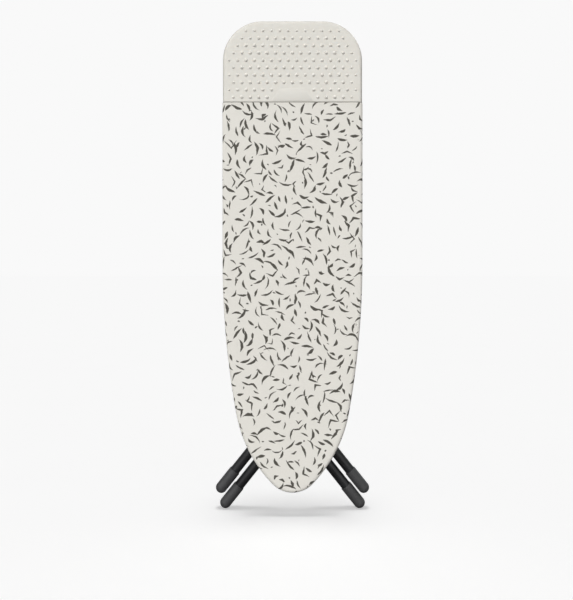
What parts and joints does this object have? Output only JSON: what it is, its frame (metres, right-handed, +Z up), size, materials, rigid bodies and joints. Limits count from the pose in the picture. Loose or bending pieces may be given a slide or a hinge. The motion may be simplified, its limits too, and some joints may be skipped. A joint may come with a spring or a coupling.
{
  "type": "folding ironing board",
  "caption": "Folding ironing board, folded and upright, with a padded fabric cover, a studded iron rest at its tail and crossed tube legs that unfold on a sliding carriage.",
  "frame": {"origin": "on the floor, in the middle of the box of the folded board", "axes": "+Z up from the nose to the tail, +X across the board, and the ironing surface faces -Y"},
  "size_m": [0.436, 0.085, 1.36],
  "materials": {
    "printed_cotton": "printed woven cotton",
    "silicone": "moulded matt silicone",
    "foam": "soft polyether foam",
    "deck_steel": "powder-coated expanded sheet",
    "frame_steel": "satin powder coat",
    "leg_steel": "satin powder coat",
    "foot_plastic": "fine moulded grain",
    "black_plastic": "moulded",
    "zinc_steel": "zinc plated",
    "rubber": "moulded"
  },
  "bodies": {
    "board": {"cover": "printed_cotton", "iron_rest": "silicone", "foam_pad": "foam", "deck": "deck_steel", "rim_left": "frame_steel", "rim_right": "frame_steel", "rib_tail": "frame_steel", "rib_pivot": "frame_steel", "rib_middle": "frame_steel", "rib_nose": "frame_steel", "pivot_bracket": "leg_steel", "pivot_shaft": "zinc_steel", "pivot_shaft_caps": "black_plastic", "bracket_rivets": "zinc_steel", "rod_block_tail": "black_plastic", "rod_block_nose": "black_plastic", "rod_block_screws": "zinc_steel", "guide_rod_left": "zinc_steel", "guide_rod_right": "zinc_steel", "rod_buffers": "rubber", "leg_saddle_left": "black_plastic", "leg_saddle_right": "black_plastic", "saddle_screws": "zinc_steel"},
    "inner_leg": {"inner_tube_left": "leg_steel", "inner_tube_right": "leg_steel", "inner_foot_left": "foot_plastic", "inner_foot_right": "foot_plastic", "inner_pivot_bushes": "black_plastic", "inner_brace_upper": "leg_steel", "inner_brace_lower": "leg_steel", "cross_axle": "zinc_steel", "inner_spacers": "black_plastic"},
    "carriage": {"carriage_bridge": "leg_steel", "carriage_block": "black_plastic", "carriage_bushes": "black_plastic", "carriage_screws": "zinc_steel", "carriage_pins": "zinc_steel", "lock_spring": "zinc_steel", "lever_pin": "zinc_steel"},
    "outer_leg": {"outer_tube_left": "leg_steel", "outer_tube_right": "leg_steel", "outer_foot_left": "foot_plastic", "outer_foot_right": "foot_plastic", "outer_pivot_bushes": "black_plastic", "outer_spacers": "black_plastic", "outer_spacer_pins": "zinc_steel"},
    "lock_plate": {"lock_plate": "zinc_steel"},
    "lever": {"release_lever": "leg_steel", "lever_grip": "black_plastic"}
  },
  "joints": [
    {"name": "legs_unfold", "type": "hinge", "parent": "board", "child": "inner_leg", "pos_m": [0, 0.0265, 1.05], "axis": [1, 0, 0], "range_deg": [0, 57]},
    {"name": "carriage_slide", "type": "slide", "parent": "board", "child": "carriage", "axis": [0, 0, -1], "range_m": [0, 0.33089]},
    {"name": "outer_leg_swing", "type": "hinge", "parent": "carriage", "child": "outer_leg", "pos_m": [0, 0.0265, 1.0261], "axis": [1, 0, 0], "range_deg": [0, 116.29]},
    {"name": "lever_squeeze", "type": "hinge", "parent": "carriage", "child": "lever", "pos_m": [0, 0.0117, 0.9661], "axis": [-1, 0, 0], "range_deg": [0, 10], "stiffness_Nm_per_rad": 1.5, "springref_deg": -5.73},
    {"name": "lock_release", "type": "hinge", "parent": "carriage", "child": "lock_plate", "pos_m": [0, -0.013, 0.9621], "axis": [1, 0, 0], "range_deg": [0, 3], "stiffness_Nm_per_rad": 0.5, "springref_deg": -2.86, "deforming": ["lock_spring"]}
  ],
  "couplings": [
    {"joint": "carriage_slide", "follows": "legs_unfold", "m_per_rad": 0.3326},
    {"joint": "outer_leg_swing", "follows": "legs_unfold", "ratio": 2.0401},
    {"joint": "lock_release", "follows": "lever_squeeze", "ratio": 0.3}
  ]
}
